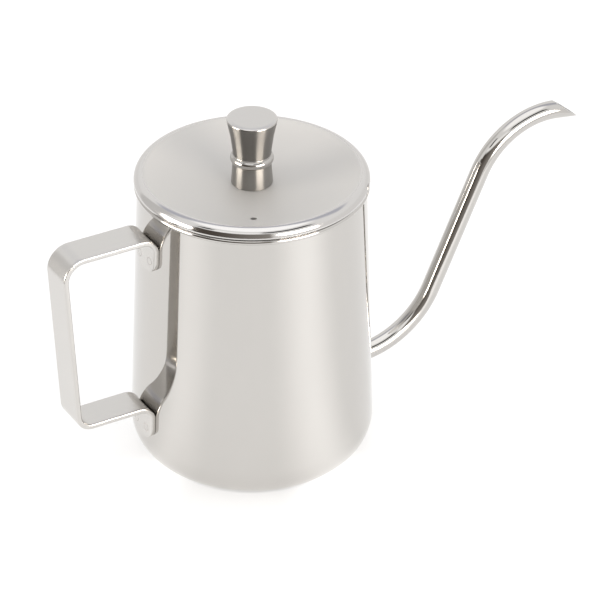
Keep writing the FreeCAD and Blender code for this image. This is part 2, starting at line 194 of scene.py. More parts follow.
def drill(piece, start, end, radius):
    """Cuts a round hole through a piece, along a line."""
    line = Vector(end) - Vector(start)
    bm = bmesh.new()
    turn = line.to_track_quat("Z", "Y").to_matrix().to_4x4()
    place = Matrix.Translation((Vector(start) + Vector(end)) / 2) @ turn
    sizes = {"radius1": radius, "radius2": radius, "depth": line.length}
    bmesh.ops.create_cone(bm, cap_ends=True, segments=HOLE_STEPS, matrix=place, **sizes)
    bit = new_object("drill", bm)
    cut = piece.modifiers.new("hole", "BOOLEAN")
    cut.object = bit
    cut.solver = "EXACT"
    result = bpy.data.meshes.new_from_object(piece.evaluated_get(bpy.context.evaluated_depsgraph_get()))
    piece.modifiers.clear()
    old, piece.data = piece.data, result
    bpy.data.meshes.remove(old)
    bpy.data.objects.remove(bit)
    shade(piece)
    print(piece.name, "drilled, now", len(result.polygons), "faces")


print("a drilled hole has", HOLE_STEPS, "sides")

# %% [markdown]
# ## The can
# The can is drawn from one disc of sheet steel: a flat base with a pressed rib that stiffens it, a large
# round corner, a wall that leans in by two degrees, and a rim rolled into a bead. One outline holds the
# outside and the inside, so the wall has its real thickness when the lid is off.

# %% Outline of the can
RIB = [(18.0 * MM, 0.0), (19.6 * MM, 1.0 * MM), (24.4 * MM, 1.0 * MM), (26.0 * MM, 0.0)]
RIB_ROUND = 1.0 * MM
CORNER_STEPS = 24
BEAD_STEPS = 36
inner_lean = WALL / math.cos(LEAN)
bead_leaves_wall = math.degrees(LEAN) - 90
bead_meets_wall = 180 + math.degrees(math.acos(inner_lean / RIM_BEAD))

floor_below = [(0, 0, 0)] + [(r, z, RIB_ROUND) for r, z in RIB]
floor_above = [(r, z + WALL, RIB_ROUND) for r, z in reversed(RIB)] + [(0, WALL, 0)]
outer_corner = (wall_radius(0), 0, BASE_CORNER)
inner_corner = (wall_radius(WALL) - inner_lean, WALL, BASE_CORNER - WALL)
wall_top = (wall_radius(MOUTH - RIM_BEAD), MOUTH - RIM_BEAD, 0)
outside = rounded(floor_below + [outer_corner, wall_top], steps=CORNER_STEPS)
bead = arc((wall_radius(MOUTH), MOUTH), RIM_BEAD, bead_leaves_wall, bead_meets_wall, BEAD_STEPS)
inside = rounded([(*bead[-1], 0), inner_corner] + floor_above, steps=CORNER_STEPS)
can_outline = outside + bead + inside[1:]
print("the can's outline has", len(can_outline), "points")

# %% Spin the can and cut the spout's hole
TUBE = 3.5 * MM
ROOT_HEIGHT = 23.0 * MM
DRILL_START = BASE_RADIUS / 2
DRILL_END = BASE_RADIUS * 1.2

can = make_piece("kettle_can", swung(can_outline), "vessel", "body_shell")
drill(can, (DRILL_START, 0, ROOT_HEIGHT), (DRILL_END, 0, ROOT_HEIGHT), TUBE)

# %% [markdown]
# ## The gooseneck
# The spout is a plain tube bent twice on round formers. A ring of vertices is pushed along the straight runs
# with `extrude` and swung through the bends with `spin`, once for the outside and once for the bore, so both
# keep their true radius. A slanting plane then trims the tip, and the open ends are bridged.

# %% Sizes of the gooseneck
TUBE_WALL = 0.6 * MM
BORE = TUBE - TUBE_WALL
ROOT_INSIDE = 1.2 * MM
ROOT_OUTSIDE = 1.8 * MM
ROOT_START = wall_radius(ROOT_HEIGHT) - WALL - ROOT_INSIDE
ROOT_END = wall_radius(ROOT_HEIGHT) + ROOT_OUTSIDE
LOWER_BEND = 34.0 * MM
RISE = math.radians(65.7)
RISE_LENGTH = 48.7 * MM
UPPER_BEND = 31.3 * MM
DIP = math.radians(8.0)
LIP_RUN = 10.2 * MM
LIP_SPARE = 2.0 * MM
SLANT = math.radians(39.0)
print("the tube is", round(2 * TUBE / MM, 1), "mm across, with a bore of", round(2 * BORE / MM, 1), "mm")


# %% Sweep a ring along a path
def edges_of(geometry):
    return [part for part in geometry if isinstance(part, bmesh.types.BMEdge)]


def verts_of(geometry):
    return [part for part in geometry if isinstance(part, bmesh.types.BMVert)]


def ahead(angle):
    """A step in the XZ plane at an angle above the horizon."""
    return Vector((math.cos(angle), 0, math.sin(angle)))


class Sweep:
    """A ring of edges that is carried along a path in the XZ plane and leaves a skin behind it."""

    def __init__(self, bm, ring, here):
        self.bm = bm
        self.ring = ring
        self.here = here

    def straight(self, length, angle, pieces=1):
        """Pushes the ring straight on."""
        for _ in range(pieces):
            made = bmesh.ops.extrude_edge_only(self.bm, edges=edges_of(self.ring))["geom"]
            bmesh.ops.translate(self.bm, verts=verts_of(made), vec=ahead(angle) * length / pieces)
            self.ring = verts_of(made) + edges_of(made)
        self.here = self.here + ahead(angle) * length

    def bend(self, radius, start, end, steps):
        """Swings the ring from one heading to another."""
        side = math.copysign(math.pi / 2, end - start)
        pivot = self.here + radius * ahead(start + side)
        axis = (0, -math.copysign(1, side), 0)
        swing = {"cent": pivot, "axis": axis, "angle": abs(end - start), "steps": steps}
        made = bmesh.ops.spin(self.bm, geom=self.ring, **swing)["geom_last"]
        self.ring = verts_of(made) + edges_of(made)
        self.here = pivot + radius * ahead(end - side)


print("a step straight up is", tuple(round(v, 3) for v in ahead(math.pi / 2)))

# %% Bend both skins of the tube
RING_STEPS = 64
LOWER_STEPS = 36
UPPER_STEPS = 44


def neck(bm, radius):
    """One skin of the gooseneck; returns the edges at its root and the end of its upper bend."""
    start = Vector((ROOT_START, 0, ROOT_HEIGHT))
    upright = Matrix.Translation(start) @ Matrix.Rotation(math.pi / 2, 4, "Y")
    circle = bmesh.ops.create_circle(bm, segments=RING_STEPS, radius=radius, matrix=upright)["verts"]
    root = list(dict.fromkeys(edge for vert in circle for edge in vert.link_edges))
    tube = Sweep(bm, circle + root, start)
    tube.straight(ROOT_END - ROOT_START, 0)
    tube.bend(LOWER_BEND, 0, RISE, LOWER_STEPS)
    tube.straight(RISE_LENGTH, RISE)
    tube.bend(UPPER_BEND, RISE, -DIP, UPPER_STEPS)
    upper_end = tube.here
    tube.straight(LIP_RUN + LIP_SPARE, -DIP)
    return root, upper_end


neck_mesh = bmesh.new()
outer_root = neck(neck_mesh, TUBE)[0]
bore_root, bend_end = neck(neck_mesh, BORE)
bmesh.ops.bridge_loops(neck_mesh, edges=outer_root + bore_root)
print("the upper bend ends at", [round(v, 4) for v in bend_end])

# %% Trim and close the tip
CRISP = math.radians(40)
TIP_BREAK = 0.12 * MM

lip = bend_end + LIP_RUN * ahead(-DIP) + TUBE * ahead(-DIP - math.pi / 2)
trim = bmesh.ops.bisect_plane(
    neck_mesh,
    geom=neck_mesh.verts[:] + neck_mesh.edges[:] + neck_mesh.faces[:],
    plane_co=lip,
    plane_no=ahead(math.pi / 2 - SLANT),
    clear_outer=True,
)
bmesh.ops.bridge_loops(neck_mesh, edges=edges_of(trim["geom_cut"]))
bmesh.ops.recalc_face_normals(neck_mesh, faces=neck_mesh.faces)
whole_edges = [edge for edge in neck_mesh.edges if len(edge.link_faces) == 2]
rim_edges = [edge for edge in whole_edges if edge.calc_face_angle() > CRISP]
bmesh.ops.bevel(
    neck_mesh, geom=rim_edges, offset=TIP_BREAK, segments=2, profile=0.5, affect="EDGES", material=-1
)
gooseneck = make_piece("gooseneck_spout", neck_mesh, "vessel", "spout_tube")

# %% [markdown]
# ## The weld at the spout's root
# A thin weld joins tube and can. It is a fillet ring, swung about the tube's own axis, with its hidden side
# sunk a little way into the wall so that no slit shows.

# %% Weld fillet
WELD_LEG = 1.2 * MM
WELD_SINK = 0.5 * MM
WELD_BITE = 0.2 * MM
WELD_TOE = 0.1 * MM
WELD_HIDDEN_TOE = 0.25 * MM
WELD_STEPS = 72
FILLET_STEPS = 8
weld_face = wall_radius(ROOT_HEIGHT)
weld_edge = TUBE + WELD_LEG
weld_curve = arc((weld_face + WELD_LEG, weld_edge), WELD_LEG, 180, 270, FILLET_STEPS)
weld_outline = [
    (weld_face - WELD_SINK, TUBE - WELD_BITE),
    (weld_face - WELD_SINK, weld_edge + WELD_HIDDEN_TOE),
    (weld_face, weld_edge + WELD_TOE),
    *weld_curve,
    (weld_face + WELD_LEG, TUBE - WELD_BITE),
]
weld_mesh = swung(weld_outline, closed=True, axis=(1, 0, 0), steps=WELD_STEPS)
bmesh.ops.translate(weld_mesh, verts=weld_mesh.verts, vec=(0, 0, ROOT_HEIGHT))
weld = make_piece("spout_weld", weld_mesh, "vessel", "spout_weld_bead")

# %% [markdown]
# ## The strap handle
# The handle is one length of flat bar with broken edges, bent four times. Its rounded section is swept the
# same way as the tube: up the upper tab, out along the arm, down the grip, back in and down the lower tab.
# The tabs are then pressed to the curve of the wall, as the maker does before spot welding them.

# %% Sizes of the strap
STRAP_WIDTH = 13.5 * MM
STRAP = 2.0 * MM
EDGE_BREAK = 0.45 * MM
UPPER_ARM = MOUTH - 7.6 * MM
LOWER_ARM = 32.7 * MM
TAB_DROP = 15.0 * MM
TAB_CORNER = 4.2 * MM
TAB_BEND = 4.8 * MM
CROWN_BEND = 7.5 * MM
HEEL_BEND = 5.5 * MM
GRIP_TOP = wall_radius(UPPER_ARM) + 38.3 * MM
GRIP_BOTTOM = wall_radius(LOWER_ARM) + 31.4 * MM
GRIP_LEAN = math.atan2(GRIP_TOP - GRIP_BOTTOM, UPPER_ARM - LOWER_ARM)
print("the grip leans", round(math.degrees(GRIP_LEAN), 2), "degrees")

# %% Section of the strap
EDGE_STEPS = 4
FLAT_STEPS = 8


def strap_section(bm, middle, across):
    """A closed loop of edges: flat bar with rounded edges, its thickness along across, its width along Y."""
    half = STRAP_WIDTH / 2
    thin = STRAP / 2
    flat_half = half - EDGE_BREAK
    corner = rounded([(half, 0, 0), (half, thin, EDGE_BREAK), (0, thin, 0)], steps=EDGE_STEPS)
    flat = [(flat_half - flat_half * n / FLAT_STEPS, thin) for n in range(1, FLAT_STEPS + 1)]
    side = corner[:-1] + flat
    loop = side + [(-y, x) for y, x in reversed(side[:-1])]
    loop = loop + [(-y, -x) for y, x in loop[1:-1]]
    points = [bm.verts.new(middle + Vector((0, y, 0)) + x * across) for y, x in loop]
    return points + [bm.edges.new(pair) for pair in zip(points, points[1:] + points[:1])]


print("the strap is", round(STRAP_WIDTH / MM, 1), "by", round(STRAP / MM, 1), "mm")

# %% Headings and rows of the strap
UP = math.pi / 2 - LEAN
OUT = math.pi
DOWN = math.pi * 1.5 + GRIP_LEAN
BACK = math.tau
TAB_DOWN = BACK - math.pi / 2 - LEAN
ARM_ROWS = 8
GRIP_ROWS = 12
TAB_ROWS = 12
TAB_STEPS = 10
CROWN_STEPS = 16
HEEL_STEPS = 14


def bend_gap(radius, start, end):
    """How far before a corner its bend begins."""
    return radius * math.tan(abs(end - start) / 2)


def round_end(strap, heading, leaving):
    """Rows that crowd towards a tab's tip, where its corners are drawn in later."""
    turns = [math.pi / 2 * n / TAB_ROWS for n in range(TAB_ROWS + 1)]
    reach = [1 - math.cos(t) if leaving else math.sin(t) for t in turns]
    for near, far in zip(reach, reach[1:]):
        strap.straight(TAB_CORNER * (far - near), heading)


print("the crown's bend starts", round(bend_gap(CROWN_BEND, OUT, DOWN) / MM, 2), "mm before its corner")


# %% Sweep the strap
def swept_strap():
    """The bare strap: tab, arm, grip, arm and tab, with a bend at each corner."""
    bm = bmesh.new()
    half = STRAP / 2
    upper = UPPER_ARM - half
    lower = LOWER_ARM - half
    tab_end = UPPER_ARM - TAB_DROP
    start = Vector((-wall_radius(tab_end) - half, 0, tab_end))
    first = strap_section(bm, start, ahead(UP - math.pi / 2))
    strap = Sweep(bm, first, start)
    round_end(strap, UP, leaving=True)
    to_corner = (upper - strap.here.z) / math.sin(UP)
    strap.straight(to_corner - bend_gap(TAB_BEND, UP, OUT), UP, ARM_ROWS)
    strap.bend(TAB_BEND, UP, OUT, TAB_STEPS)
    to_corner = strap.here.x + GRIP_TOP - half
    strap.straight(to_corner - bend_gap(CROWN_BEND, OUT, DOWN), OUT, ARM_ROWS)
    strap.bend(CROWN_BEND, OUT, DOWN, CROWN_STEPS)
    to_corner = (strap.here.z - lower) / math.cos(GRIP_LEAN)
    strap.straight(to_corner - bend_gap(HEEL_BEND, DOWN, BACK), DOWN, GRIP_ROWS)
    strap.bend(HEEL_BEND, DOWN, BACK, HEEL_STEPS)
    to_corner = -wall_radius(lower) - half - strap.here.x
    strap.straight(to_corner - bend_gap(TAB_BEND, BACK, TAB_DOWN), BACK, ARM_ROWS)
    strap.bend(TAB_BEND, BACK, TAB_DOWN, TAB_STEPS)
    strap.straight(strap.here.z - (LOWER_ARM - TAB_DROP) - TAB_CORNER, TAB_DOWN, ARM_ROWS)
    round_end(strap, TAB_DOWN, leaving=False)
    for end in (first, strap.ring):
        bmesh.ops.contextual_create(bm, geom=edges_of(end))
    bmesh.ops.recalc_face_normals(bm, faces=bm.faces)
    return bm


strap_mesh = swept_strap()
print("the strap has", len(strap_mesh.faces), "faces before its tabs are pressed")

# %% Press the tabs to the wall and round their ends
TAB_PRESS = 5.0 * MM
TAB_REACH = BASE_RADIUS + 2 * STRAP
TAB_MARGIN = 1.0 * MM


def press_tab(bm, arm_height):
    """Bends a tab to the can's curve and draws its lower corners in to a radius."""
    end = arm_height - TAB_DROP
    half = STRAP_WIDTH / 2
    for vert in bm.verts:
        x, y, z = vert.co
        if x < -TAB_REACH or not end - TAB_MARGIN < z < arm_height + TAB_MARGIN:
            continue
        if z < end + TAB_CORNER:
            drop = (end + TAB_CORNER - z) / TAB_CORNER
            reach = half - TAB_CORNER + TAB_CORNER * math.sqrt(max(1 - min(drop, 1) ** 2, 0))
            vert.co.y = y * reach / half
            y = vert.co.y
        radius = wall_radius(z)
        amount = min(max((arm_height - z) / TAB_PRESS, 0), 1)
        vert.co.x += amount * (radius - math.sqrt(radius**2 - y**2))


for height in (UPPER_ARM, LOWER_ARM):
    press_tab(strap_mesh, height)
handle = make_piece("strap_handle", strap_mesh, "vessel", "handle_strap")

# %% [markdown]
# ## The lid
# The lid is a shallow dish, lower in the middle than at its edge, with the edge rolled over and down. The
# dish is one long arc that leaves the flat seat of the knob level and meets the roll at its own slope, so
# the reflections run through the join without a kink. A small vent, drilled last, lets the steam out.

# %% Lid plate
LID_ROLL = 3.3 * MM
LID_SHEET = 0.8 * MM
SLOPE = 16.4
SEAT = 7.6 * MM
SCREW_HOLE = 2.15 * MM
SKIRT_GAP = 0.35 * MM
ROLL_STEPS = 18
DISH_STEPS = 40
SKIRT_STEPS = 8
roll_centre = (LID_RADIUS - LID_ROLL, LID_TOP - LID_ROLL)


def lid_skin(depth):
    """The lid's curve at a depth below its upper face, from the seat out to the skirt."""
    roll = arc(roll_centre, LID_ROLL - depth, 90 + SLOPE, 0, ROLL_STEPS)
    bowl = (roll[0][0] - SEAT) / math.sin(math.radians(SLOPE))
    floor = roll[0][1] - bowl * (1 - math.cos(math.radians(SLOPE)))
    dish = arc((SEAT, floor + bowl), bowl, -90, -90 + SLOPE, DISH_STEPS)
    return [(SCREW_HOLE, floor)] + dish + roll[1:]


half_sheet = LID_SHEET / 2
skirt_centre = (LID_RADIUS - half_sheet, RIM_TOP + SKIRT_GAP + half_sheet)
skirt_end = arc(skirt_centre, half_sheet, 0, -180, SKIRT_STEPS)
lid_outline = lid_skin(0) + skirt_end + lid_skin(LID_SHEET)[::-1]
lid = make_piece("lid_dish", swung(lid_outline, closed=True), "lid", "lid_pan")

# %% Vent hole
VENT_REACH = 30.4 * MM
VENT_BEARING = math.radians(61.8)
VENT_RADIUS = 1.25 * MM
VENT_BOTTOM = LID_TOP - 10 * MM
VENT_TOP = LID_TOP + 5 * MM
vent_x = -VENT_REACH * math.cos(VENT_BEARING)
vent_y = -VENT_REACH * math.sin(VENT_BEARING)
drill(lid, (vent_x, vent_y, VENT_BOTTOM), (vent_x, vent_y, VENT_TOP), VENT_RADIUS)

# %% [markdown]
# ## The plug ring
# A short ring under the lid drops into the mouth and keeps the lid from sliding off while pouring. It is a
# strip of the same sheet, rolled and welded under the edge, so one small outline with rounded lower corners
# is swung round like the lid.

# %% Plug ring
PLUG_WALL = 0.6 * MM
PLUG_ROUND = 0.25 * MM
PLUG_INNER_DROP = 0.4 * MM
PLUG_OUTER_DROP = 0.15 * MM
PLUG_STEPS = 5
plug_low, plug_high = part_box("lid_plug_ring")
plug_outer = plug_high.x
plug_inner = plug_outer - PLUG_WALL
plug_outline = rounded(
    [
        (plug_inner, plug_high.z - PLUG_INNER_DROP, 0),
        (plug_inner, plug_low.z, PLUG_ROUND),
        (plug_outer, plug_low.z, PLUG_ROUND),
        (plug_outer, plug_high.z - PLUG_OUTER_DROP, 0),
    ],
    steps=PLUG_STEPS,
)
plug = make_piece("lid_plug", swung(plug_outline, closed=True), "lid", "lid_plug_ring")

# %% [markdown]
# ## The knob
# The knob is turned from bar: a foot that spreads a little, a waist, a half-round bead with a fine step
# above it, and a crown that flares to a crisp edge. Lathe work is made the same way here: one outline, one
# full turn.

# %% Foot and bead of the knob
FOOT = 7.6 * MM
FOOT_ROUND = 0.35 * MM
WAIST = 7.0 * MM
BEAD_HEIGHT = SEAT_HEIGHT + 9.9 * MM
BEAD_HALF = 1.6 * MM
BEAD = 7.9 * MM
BEAD_ARC_STEPS = 14
bead_depth = BEAD - WAIST
bead_radius = (bead_depth**2 + BEAD_HALF**2) / (2 * bead_depth)
bead_half_turn = math.degrees(math.asin(BEAD_HALF / bead_radius))
bead_centre = (BEAD - bead_radius, BEAD_HEIGHT)
bead_curve = arc(bead_centre, bead_radius, -bead_half_turn, bead_half_turn, BEAD_ARC_STEPS)
below_bead = rounded([(0, SEAT_HEIGHT, 0), (FOOT, SEAT_HEIGHT, FOOT_ROUND), (*bead_curve[0], 0)])
print("the bead's round is", round(bead_radius / MM, 2), "mm")

# %% Crown of the knob
CROWN = knob_high.x
STEP = 7.2 * MM
STEP_HEIGHT = 0.5 * MM
STEP_ROUND = 0.2 * MM
GROOVE = 0.1 * MM
HOLLOW = 0.36
HOLLOW_ROUND = 40 * MM
EDGE_DROP = 0.35 * MM
EDGE_ROUND = 0.6 * MM
TOP_ROUND = 1.5 * MM
TOP_FALL = 0.05 * MM
CROWN_ARC_STEPS = 6
KNOB_STEPS = 128
step_base = BEAD_HEIGHT + BEAD_HALF
step_top = step_base + STEP_HEIGHT
above_bead = rounded(
    [
        (*bead_curve[-1], 0),
        (STEP, step_base, GROOVE),
        (STEP, step_top, STEP_ROUND),
        (WAIST - GROOVE, step_top, GROOVE),
        (WAIST + HOLLOW * (CROWN - WAIST), (step_top + KNOB_TOP) / 2, HOLLOW_ROUND),
        (CROWN, KNOB_TOP - EDGE_DROP, EDGE_ROUND),
        (CROWN - TOP_ROUND, KNOB_TOP - TOP_FALL, TOP_ROUND),
        (0, KNOB_TOP, 0),
    ],
    steps=CROWN_ARC_STEPS,
)
knob_outline = below_bead[:-1] + bead_curve + above_bead[1:]
knob = make_piece("turned_knob", swung(knob_outline, steps=KNOB_STEPS), "lid", "lid_knob")

# %% [markdown]
# ## Writing finishes
# A finish is a graph of nodes. Two small classes keep it readable: `Wire` is one output that can be added,
# multiplied and so on like a number, and `Graph.node` makes any other node from its settings and inputs.


# %% Wires
class Wire:
    """One output socket; arithmetic on it adds Math nodes."""

    def __init__(self, graph, socket):
        self.graph = graph
        self.socket = socket

    def math(self, operation, *values):
        inputs = dict(enumerate(values))
        return self.graph.node("ShaderNodeMath", {"operation": operation}, inputs)

    def __add__(self, other):
        return self.math("ADD", self, other)

    def __sub__(self, other):
        return self.math("SUBTRACT", self, other)

    def __mul__(self, other):
        return self.math("MULTIPLY", self, other)

    def __radd__(self, other):
        return self.math("ADD", other, self)

    def __rsub__(self, other):
        return self.math("SUBTRACT", other, self)

    def __rmul__(self, other):
        return self.math("MULTIPLY", other, self)


print("wires can be added, taken away and multiplied")


# %% Graphs
class Graph:
    """A node tree that is written one call at a time."""

    def __init__(self, tree):
        self.tree = tree
        tree.nodes.clear()

    def node(self, kind, settings=None, inputs=None, output=0):
        made = self.tree.nodes.new(kind)
        for name, value in (settings or {}).items():
            setattr(made, name, value)
        for name, value in (inputs or {}).items():
            if isinstance(value, Wire):
                self.tree.links.new(value.socket, made.inputs[name])
            else:
                made.inputs[name].default_value = value
        return Wire(self, made.outputs[output]) if made.outputs else made

    def object_place(self):
        return self.node("ShaderNodeTexCoord", output="Object")

    def split(self, vector):
        parts = self.node("ShaderNodeSeparateXYZ", inputs={0: vector}).socket.node.outputs
        return [Wire(self, socket) for socket in parts]

    def reach(self, where):
        """How far a place is from the kettle's upright axis."""
        level = {0: where, 1: (1.0, 1.0, 0.0)}
        flat = self.node("ShaderNodeVectorMath", {"operation": "MULTIPLY"}, level)
        return self.node("ShaderNodeVectorMath", {"operation": "LENGTH"}, {0: flat}, output="Value")

    def ease(self, value, low, high):
        """0 below low, 1 above high, smooth between; low may be the larger."""
        settings = {"interpolation_type": "SMOOTHSTEP", "clamp": True}
        limits = {1: low, 2: high, 3: 0.0, 4: 1.0}
        if low > high:
            limits = {1: high, 2: low, 3: 1.0, 4: 0.0}
        return self.node("ShaderNodeMapRange", settings, {0: value} | limits)

    def blend(self, factor, first, second):
        """A colour between two colours."""
        settings = {"data_type": "RGBA"}
        return self.node("ShaderNodeMix", settings, {0: factor, 6: first, 7: second}, output=2)


def new_finish(name):
    material = bpy.data.materials.new(name)
    material.use_nodes = True
    return material, Graph(material.node_tree)


print("graphs can hold any node")

# %% [markdown]
# ## Steel
# All the finishes are stainless steel and differ in how it was worked: polished on a wheel, brushed with a
# belt, turned on a lathe. So one function makes the steel, and each finish brings its own grain: a stretched
# noise that nudges the roughness, the tone and the bump.

# %% Steel finish
GRAIN_DETAIL = 3.0
CLOUD_SCALE = 45.0
CLOUD_DETAIL = 4.0
CLOUD_SHARE = 0.6
MOTTLE = 0.02
BUMP_DEPTH = 0.02 * MM
STREAK_TURN = 0.25


def steel(name, tone, grain, roughness, spread, bump, extra=None, streak=0.0, metal=1.0):
    """Stainless steel: grain is a function of the graph that gives the stretched place for its noise."""
    material, g = new_finish(name)
    place = g.object_place()
    fine = {"Vector": grain(g, place), "Scale": 1.0, "Detail": GRAIN_DETAIL}
    coarse = {"Vector": place, "Scale": CLOUD_SCALE, "Detail": CLOUD_DETAIL}
    lines = g.node("ShaderNodeTexNoise", None, fine)
    clouds = g.node("ShaderNodeTexNoise", None, coarse)
    level = roughness + (lines - 0.5) * spread + (clouds - 0.5) * spread * CLOUD_SHARE
    dark = tuple(c * (1 - MOTTLE) for c in tone) + (1.0,)
    light = tuple(min(c * (1 + MOTTLE), 1.0) for c in tone) + (1.0,)
    colour = g.blend(0.5 * lines + 0.5 * clouds, dark, light)
    look = {"Base Color": colour, "Roughness": level, "Metallic": metal, "height": lines}
    if extra:
        extra(g, place, look)
    relief = {"Strength": bump, "Distance": BUMP_DEPTH, "Height": look.pop("height")}
    normal = g.node("ShaderNodeBump", None, relief)
    drawn_out = {"Normal": normal, "Anisotropic": streak, "Anisotropic Rotation": STREAK_TURN}
    surface = g.node("ShaderNodeBsdfPrincipled", None, look | drawn_out)
    g.node("ShaderNodeOutputMaterial", None, {"Surface": surface})
    return material


print("steel is mottled by", round(MOTTLE * 100), "percent")


# %% Grain of the steel
def stretched(x, y, z):
    """Grain drawn out along one axis: small numbers give long streaks."""

    def place(g, where):
        return g.node("ShaderNodeMapping", None, {"Vector": where, "Scale": (x, y, z)})

    return place


def round_the_axis(across, along):
    """Grain that runs round the kettle's axis, as a spinning wheel leaves it."""

    def place(g, where):
        height = g.split(where)[2]
        return g.node("ShaderNodeCombineXYZ", None, {0: g.reach(where) * across, 1: height * along, 2: 0.0})

    return place


print("grain can run straight or round")

# %% [markdown]
# ## Polished can and tube
# The can's outside and the spout are buffed on a wheel until they mirror the room, and the inside is left
# satin. A nearly smooth steel is enough here, because the studio's reflections give the polish its looks;
# the grain only keeps the highlights from being perfectly clean.

# %% Polished finishes
STEEL_TONE = (0.585, 0.568, 0.545)
SATIN_TONE = (0.625, 0.61, 0.59)

polished = steel(
    "polished_steel",
    STEEL_TONE,
    round_the_axis(across=400.0, along=2600.0),
    roughness=0.055,
    spread=0.03,
    bump=0.02,
)
inner_satin = steel(
    "inner_satin_steel",
    SATIN_TONE,
    round_the_axis(across=3000.0, along=3000.0),
    roughness=0.26,
    spread=0.08,
    bump=0.15,
)
tube_polish = steel(
    "tube_polish",
    STEEL_TONE,
    stretched(900.0, 900.0, 900.0),
    roughness=0.07,
    spread=0.03,
    bump=0.02,
)
print("made", polished.name, inner_satin.name, tube_polish.name)

# %% [markdown]
# ## Satin lid
# The lid's dish has a fine satin finish that scatters light evenly, and its rolled edge is buffed smooth and
# painted lighter, a painted sheen.
# Pure metal would still show the windows on the dish, so the dish is only partly metallic. One material
# does both, because the buffing begins at a known distance from the axis.

# %% Lid finish
LID_TONE = (0.555, 0.544, 0.526)
# Painted sheen: the rolled edge's tone is lighter than the dish and the can's steel.
ROLL_PAINTED_SHEEN_TONE = (0.63, 0.615, 0.60)
BUFFED_START = LID_RADIUS - 4.2 * MM
BUFFED_FULL = LID_RADIUS - 2.6 * MM
BUFFED_ROUGHNESS = 0.1
DISH_METAL = 0.42


def polished_edge_painted_sheen(g, place, look):
    """The rolled edge of the lid is buffed smoother than the dish, and its colour is painted lighter, a
    painted sheen.
    """
    buffed = g.ease(g.reach(place), BUFFED_START, BUFFED_FULL)
    # Painted sheen: the roll's colour is blended to the lighter painted tone.
    look["Base Color"] = g.blend(buffed, look["Base Color"], (*ROLL_PAINTED_SHEEN_TONE, 1))
    look["Roughness"] = look["Roughness"] * (1 - buffed) + BUFFED_ROUGHNESS * buffed
    look["Metallic"] = look["Metallic"] + (1 - look["Metallic"]) * buffed
    look["height"] = look["height"] * (1 - buffed)


lid_satin = steel(
    "lid_satin_steel",
    LID_TONE,
    round_the_axis(across=5200.0, along=5200.0),
    roughness=0.55,
    spread=0.05,
    bump=0.05,
    extra=polished_edge_painted_sheen,
    metal=DISH_METAL,
)
print("the lid's buffing starts", round(BUFFED_START / MM, 1), "mm from the axis")

# %% [markdown]
# ## Turned knob
# A lathe leaves fine lines round the knob, which draw each reflection out into upright stripes. Anisotropy
# gives those stripes without modelling a line. The crown's steel is painted far darker than the can's, a
# painted dark reflection. The foot is painted lighter than the crown, a painted sheen, and is a little
# rougher;
# the bead between them is polished, and the top is faced with rings.

# %% Knob finishes
# Painted shade: the crown's tone is far darker than the can's steel, a painted dark reflection; the foot's
# tone is painted lighter, a painted sheen.
KNOB_PAINTED_DARK_TONE = (0.245, 0.234, 0.22)
FOOT_PAINTED_LIGHT_TONE = (0.35, 0.335, 0.315)
BEAD_TONE = (0.5, 0.485, 0.465)
FOOT_BLEND = 1.0 * MM
FOOT_ROUGHER = 0.1


def painted_lighter_foot(g, place, look):
    """The knob's foot is painted lighter than its crown, a painted sheen, and is a little rougher."""
    crown = g.ease(g.split(place)[2], BEAD_HEIGHT - FOOT_BLEND, BEAD_HEIGHT + FOOT_BLEND)
    look["Base Color"] = g.blend(crown, (*FOOT_PAINTED_LIGHT_TONE, 1), look["Base Color"])
    look["Roughness"] = look["Roughness"] + FOOT_ROUGHER * (1 - crown)


lathe_lines = round_the_axis(across=200.0, along=5000.0)
facing_rings = round_the_axis(across=4200.0, along=200.0)
# The crown's finish carries the painted dark tone.
turned = steel(
    "turned_steel",
    KNOB_PAINTED_DARK_TONE,
    lathe_lines,
    roughness=0.36,
    spread=0.04,
    bump=0.03,
    extra=painted_lighter_foot,
    streak=1.0,
)
bead_polish = steel("knob_bead_steel", BEAD_TONE, lathe_lines, roughness=0.15, spread=0.03, bump=0.03)
knob_top = steel("knob_top_steel", SATIN_TONE, facing_rings, roughness=0.34, spread=0.06, bump=0.06)
print("the knob has", len((turned, bead_polish, knob_top)), "finishes")

# %% [markdown]
# ## Brushed strap
# The strap is brushed along its length with a belt, so its grain is long in two directions and fine across
# the width. Each tab is held by two spot welds. They are too shallow to model, so the finish draws them as
# rings that are darker, rougher and slightly sunk.

# %% Spot welds
SPOT_TONE = (0.36, 0.34, 0.32)
SPOT_ACROSS = 3.6 * MM
SPOT_DROP = 10.5 * MM
SPOT_INNER = (1.0 * MM, 1.35 * MM)
SPOT_OUTER = (1.75 * MM, 1.45 * MM)
SPOT_DEPTH = 2.0
SPOT_ROUGHER = 0.1
SPOT_SHADE = 0.5
TAB_FACE = (-BASE_RADIUS - 4.5 * MM, -BASE_RADIUS - 4.0 * MM)


def spot_welds(g, place, look):
    """Each tab is held by two spot welds, which leave a shallow, dull ring."""
    x, y, z = g.split(place)
    on_tab = g.ease(x, *TAB_FACE)
    across = g.node("ShaderNodeMath", {"operation": "ABSOLUTE"}, {0: y}) - SPOT_ACROSS
    mark = 0.0
    for arm_height in (UPPER_ARM, LOWER_ARM):
        along = z - (arm_height - SPOT_DROP)
        away = g.node("ShaderNodeMath", {"operation": "SQRT"}, {0: across * across + along * along})
        ring = g.ease(away, *SPOT_INNER) * g.ease(away, *SPOT_OUTER)
        mark = ring * on_tab + mark
    look["Base Color"] = g.blend(SPOT_SHADE * mark, look["Base Color"], (*SPOT_TONE, 1))
    look["Roughness"] = look["Roughness"] + SPOT_ROUGHER * mark
    look["height"] = look["height"] - SPOT_DEPTH * mark


